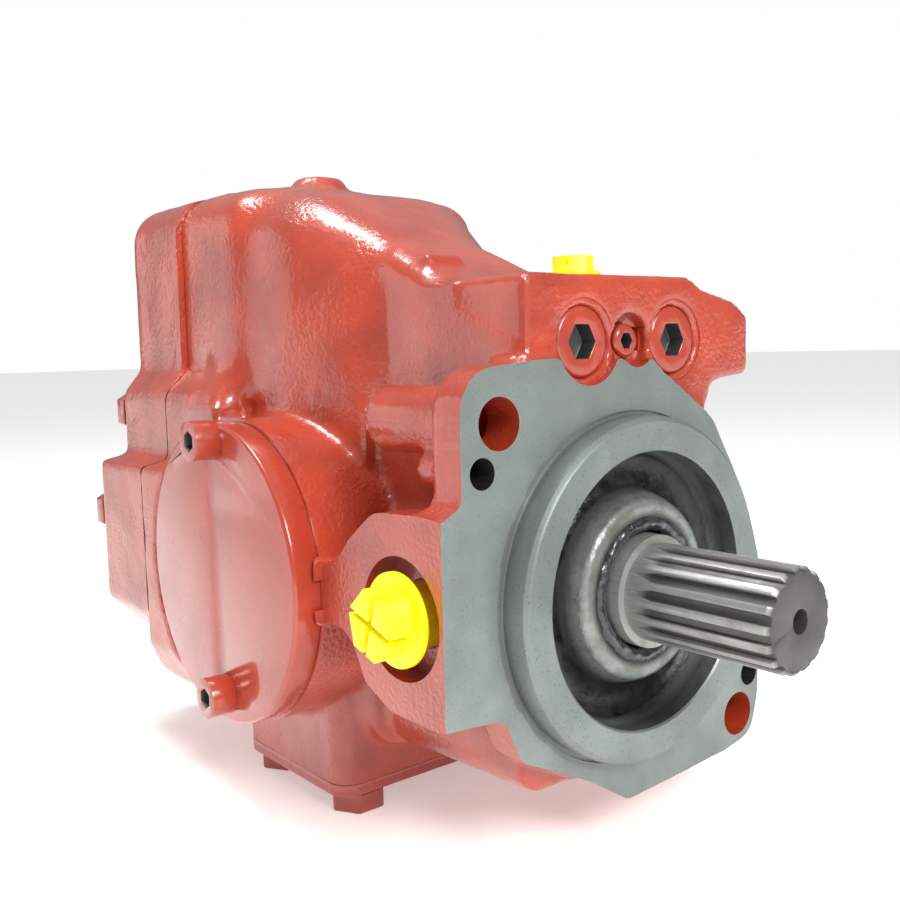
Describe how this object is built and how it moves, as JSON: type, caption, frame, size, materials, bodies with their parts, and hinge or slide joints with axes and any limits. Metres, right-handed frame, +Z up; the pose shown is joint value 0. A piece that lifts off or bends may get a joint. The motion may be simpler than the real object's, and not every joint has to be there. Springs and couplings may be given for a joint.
{
  "type": "axial piston pump",
  "caption": "Variable swash-plate axial piston pump with a two-bolt flange, splined shaft, side port, underside inlet and round side covers.",
  "frame": {"origin": "centre of the pilot on the mounting face", "axes": "-Y along the shaft towards its splined nose, +Y towards the rear cover, +Z up over the valve block, +X to the right seen from the shaft"},
  "size_m": [0.178, 0.2746, 0.2176],
  "materials": {
    "red_casting": "sand-cast iron under gloss red enamel, machined faces bare",
    "red_cover": "turned steel under gloss red enamel",
    "red_screw": "steel fasteners painted over with the casting",
    "yellow_plastic": "moulded fluorescent yellow",
    "dark_steel": "oiled, phosphated steel",
    "hard_steel": "ground and hardened",
    "shaft_steel": "ground steel, milled splines",
    "spring_steel": "oil-tempered wire",
    "swash_iron": "cast, lapped face",
    "bronze": "lapped bronze",
    "seal_rubber": "greased black rubber",
    "gasket_sheet": "fibre gasket sheet"
  },
  "bodies": {
    "casing": {"housing": "red_casting", "rear_cover": "red_casting", "side_cover_left": "red_cover", "side_cover_right": "red_cover", "side_cover_screws_left": "red_screw", "side_cover_screws_right": "red_screw", "inlet_flange": "red_cover", "inlet_flange_bolts": "red_screw", "rear_cover_bolts": "red_screw", "rear_dowels": "hard_steel", "load_sense_plug": "red_screw", "pressure_plug": "red_screw", "gauge_plug": "red_screw", "bleed_plug": "red_screw", "side_port_cap": "yellow_plastic", "top_port_cap": "yellow_plastic", "seal_case": "dark_steel", "seal_lip": "seal_rubber", "side_cover_seals": "seal_rubber", "rear_gasket": "gasket_sheet", "front_bearing_outer": "hard_steel", "rear_bearing_outer": "hard_steel", "trunnion_bearings": "hard_steel", "valve_plate": "bronze", "bias_spring": "spring_steel", "load_sense_spring": "spring_steel", "pressure_spring": "spring_steel"},
    "rotating_group": {"shaft": "shaft_steel", "cylinder_barrel": "dark_steel", "ball_guide": "hard_steel", "barrel_spring": "spring_steel", "front_bearing_inner": "hard_steel", "rear_bearing_inner": "hard_steel"},
    "front_roller_ring": {"front_bearing_rollers": "hard_steel"},
    "rear_roller_ring": {"rear_bearing_rollers": "hard_steel"},
    "retainer": {"retainer_plate": "hard_steel"},
    "swash": {"swash_plate": "swash_iron"},
    "control_plunger": {"control_piston": "hard_steel"},
    "bias_cup": {"bias_piston": "hard_steel"},
    "load_sense_valve": {"load_sense_spool": "hard_steel"},
    "pressure_valve": {"pressure_spool": "hard_steel"},
    "plunger_1": {"piston_1": "hard_steel"},
    "shoe_1": {"slipper_1": "bronze"},
    "plunger_2": {"piston_2": "hard_steel"},
    "shoe_2": {"slipper_2": "bronze"},
    "plunger_3": {"piston_3": "hard_steel"},
    "shoe_3": {"slipper_3": "bronze"},
    "plunger_4": {"piston_4": "hard_steel"},
    "shoe_4": {"slipper_4": "bronze"},
    "plunger_5": {"piston_5": "hard_steel"},
    "shoe_5": {"slipper_5": "bronze"},
    "plunger_6": {"piston_6": "hard_steel"},
    "shoe_6": {"slipper_6": "bronze"},
    "plunger_7": {"piston_7": "hard_steel"},
    "shoe_7": {"slipper_7": "bronze"},
    "plunger_8": {"piston_8": "hard_steel"},
    "shoe_8": {"slipper_8": "bronze"},
    "plunger_9": {"piston_9": "hard_steel"},
    "shoe_9": {"slipper_9": "bronze"}
  },
  "joints": [
    {"name": "shaft_spin", "type": "hinge", "parent": "casing", "child": "rotating_group", "pos_m": [0, 0, 0], "axis": [0, 1, 0], "range_deg": [-360, 360]},
    {"name": "swash_tilt", "type": "hinge", "parent": "casing", "child": "swash", "pos_m": [0, 0.1075, 0], "axis": [1, 0, 0], "range_deg": [0, 16]},
    {"name": "front_rollers_orbit", "type": "hinge", "parent": "casing", "child": "front_roller_ring", "pos_m": [0, 0, 0], "axis": [0, 1, 0], "range_deg": [-162, 162]},
    {"name": "rear_rollers_orbit", "type": "hinge", "parent": "casing", "child": "rear_roller_ring", "pos_m": [0, 0, 0], "axis": [0, 1, 0], "range_deg": [-148, 148]},
    {"name": "retainer_tilt", "type": "hinge", "parent": "rotating_group", "child": "retainer", "pos_m": [0, 0.1075, 0], "axis": [1, 0, 0], "range_deg": [-0.5, 16.5]},
    {"name": "control_piston_slide", "type": "slide", "parent": "casing", "child": "control_plunger", "axis": [0, -1, 0], "range_m": [0, 0.0205]},
    {"name": "bias_piston_slide", "type": "slide", "parent": "casing", "child": "bias_cup", "axis": [0, -1, 0], "range_m": [0, 0.0205], "deforming": ["bias_spring"]},
    {"name": "load_sense_spool_slide", "type": "slide", "parent": "casing", "child": "load_sense_valve", "axis": [0, 1, 0], "range_m": [0, 0.003], "deforming": ["load_sense_spring"]},
    {"name": "pressure_spool_slide", "type": "slide", "parent": "casing", "child": "pressure_valve", "axis": [0, 1, 0], "range_m": [0, 0.003], "deforming": ["pressure_spring"]},
    {"name": "piston_1_stroke", "type": "slide", "parent": "rotating_group", "child": "plunger_1", "axis": [0, 1, 0], "range_m": [-0.00944, 0.0003]},
    {"name": "slipper_1_rock", "type": "hinge", "parent": "plunger_1", "child": "shoe_1", "pos_m": [0, 0.1075, 0.032], "axis": [1, 0, 0], "range_deg": [-0.5, 16.5]},
    {"name": "piston_2_stroke", "type": "slide", "parent": "rotating_group", "child": "plunger_2", "axis": [0, 1, 0], "range_m": [-0.0073, 0.0003]},
    {"name": "slipper_2_rock", "type": "hinge", "parent": "plunger_2", "child": "shoe_2", "pos_m": [0.02057, 0.1075, 0.02451], "axis": [1, 0, 0], "range_deg": [-0.5, 16.5]},
    {"name": "piston_3_stroke", "type": "slide", "parent": "rotating_group", "child": "plunger_3", "axis": [0, 1, 0], "range_m": [-0.00189, 0.0003]},
    {"name": "slipper_3_rock", "type": "hinge", "parent": "plunger_3", "child": "shoe_3", "pos_m": [0.03151, 0.1075, 0.00556], "axis": [1, 0, 0], "range_deg": [-0.5, 16.5]},
    {"name": "piston_4_stroke", "type": "slide", "parent": "rotating_group", "child": "plunger_4", "axis": [0, 1, 0], "range_m": [-0.0003, 0.00487]},
    {"name": "slipper_4_rock", "type": "hinge", "parent": "plunger_4", "child": "shoe_4", "pos_m": [0.02771, 0.1075, -0.016], "axis": [1, 0, 0], "range_deg": [-0.5, 16.5]},
    {"name": "piston_5_stroke", "type": "slide", "parent": "rotating_group", "child": "plunger_5", "axis": [0, 1, 0], "range_m": [-0.0003, 0.00889]},
    {"name": "slipper_5_rock", "type": "hinge", "parent": "plunger_5", "child": "shoe_5", "pos_m": [0.01094, 0.1075, -0.03007], "axis": [1, 0, 0], "range_deg": [-0.5, 16.5]},
    {"name": "piston_6_stroke", "type": "slide", "parent": "rotating_group", "child": "plunger_6", "axis": [0, 1, 0], "range_m": [-0.0003, 0.00889]},
    {"name": "slipper_6_rock", "type": "hinge", "parent": "plunger_6", "child": "shoe_6", "pos_m": [-0.01094, 0.1075, -0.03007], "axis": [1, 0, 0], "range_deg": [-0.5, 16.5]},
    {"name": "piston_7_stroke", "type": "slide", "parent": "rotating_group", "child": "plunger_7", "axis": [0, 1, 0], "range_m": [-0.0003, 0.00487]},
    {"name": "slipper_7_rock", "type": "hinge", "parent": "plunger_7", "child": "shoe_7", "pos_m": [-0.02771, 0.1075, -0.016], "axis": [1, 0, 0], "range_deg": [-0.5, 16.5]},
    {"name": "piston_8_stroke", "type": "slide", "parent": "rotating_group", "child": "plunger_8", "axis": [0, 1, 0], "range_m": [-0.00189, 0.0003]},
    {"name": "slipper_8_rock", "type": "hinge", "parent": "plunger_8", "child": "shoe_8", "pos_m": [-0.03151, 0.1075, 0.00556], "axis": [1, 0, 0], "range_deg": [-0.5, 16.5]},
    {"name": "piston_9_stroke", "type": "slide", "parent": "rotating_group", "child": "plunger_9", "axis": [0, 1, 0], "range_m": [-0.0073, 0.0003]},
    {"name": "slipper_9_rock", "type": "hinge", "parent": "plunger_9", "child": "shoe_9", "pos_m": [-0.02057, 0.1075, 0.02451], "axis": [1, 0, 0], "range_deg": [-0.5, 16.5]}
  ],
  "couplings": [
    {"joint": "front_rollers_orbit", "follows": "shaft_spin", "ratio": 0.445},
    {"joint": "rear_rollers_orbit", "follows": "shaft_spin", "ratio": 0.4082},
    {"joint": "retainer_tilt", "follows": "swash_tilt", "ratio": 1},
    {"joint": "control_piston_slide", "follows": "swash_tilt", "m_per_rad": 0.0716},
    {"joint": "bias_piston_slide", "follows": "swash_tilt", "m_per_rad": 0.0716},
    {"joint": "piston_1_stroke", "follows": "swash_tilt", "m_per_rad": -0.03272},
    {"joint": "slipper_1_rock", "follows": "swash_tilt", "ratio": 1},
    {"joint": "piston_2_stroke", "follows": "swash_tilt", "m_per_rad": -0.025065},
    {"joint": "slipper_2_rock", "follows": "swash_tilt", "ratio": 1},
    {"joint": "piston_3_stroke", "follows": "swash_tilt", "m_per_rad": -0.005682},
    {"joint": "slipper_3_rock", "follows": "swash_tilt", "ratio": 1},
    {"joint": "piston_4_stroke", "follows": "swash_tilt", "m_per_rad": 0.01636},
    {"joint": "slipper_4_rock", "follows": "swash_tilt", "ratio": 1},
    {"joint": "piston_5_stroke", "follows": "swash_tilt", "m_per_rad": 0.030747},
    {"joint": "slipper_5_rock", "follows": "swash_tilt", "ratio": 1},
    {"joint": "piston_6_stroke", "follows": "swash_tilt", "m_per_rad": 0.030747},
    {"joint": "slipper_6_rock", "follows": "swash_tilt", "ratio": 1},
    {"joint": "piston_7_stroke", "follows": "swash_tilt", "m_per_rad": 0.01636},
    {"joint": "slipper_7_rock", "follows": "swash_tilt", "ratio": 1},
    {"joint": "piston_8_stroke", "follows": "swash_tilt", "m_per_rad": -0.005682},
    {"joint": "slipper_8_rock", "follows": "swash_tilt", "ratio": 1},
    {"joint": "piston_9_stroke", "follows": "swash_tilt", "m_per_rad": -0.025065},
    {"joint": "slipper_9_rock", "follows": "swash_tilt", "ratio": 1}
  ]
}
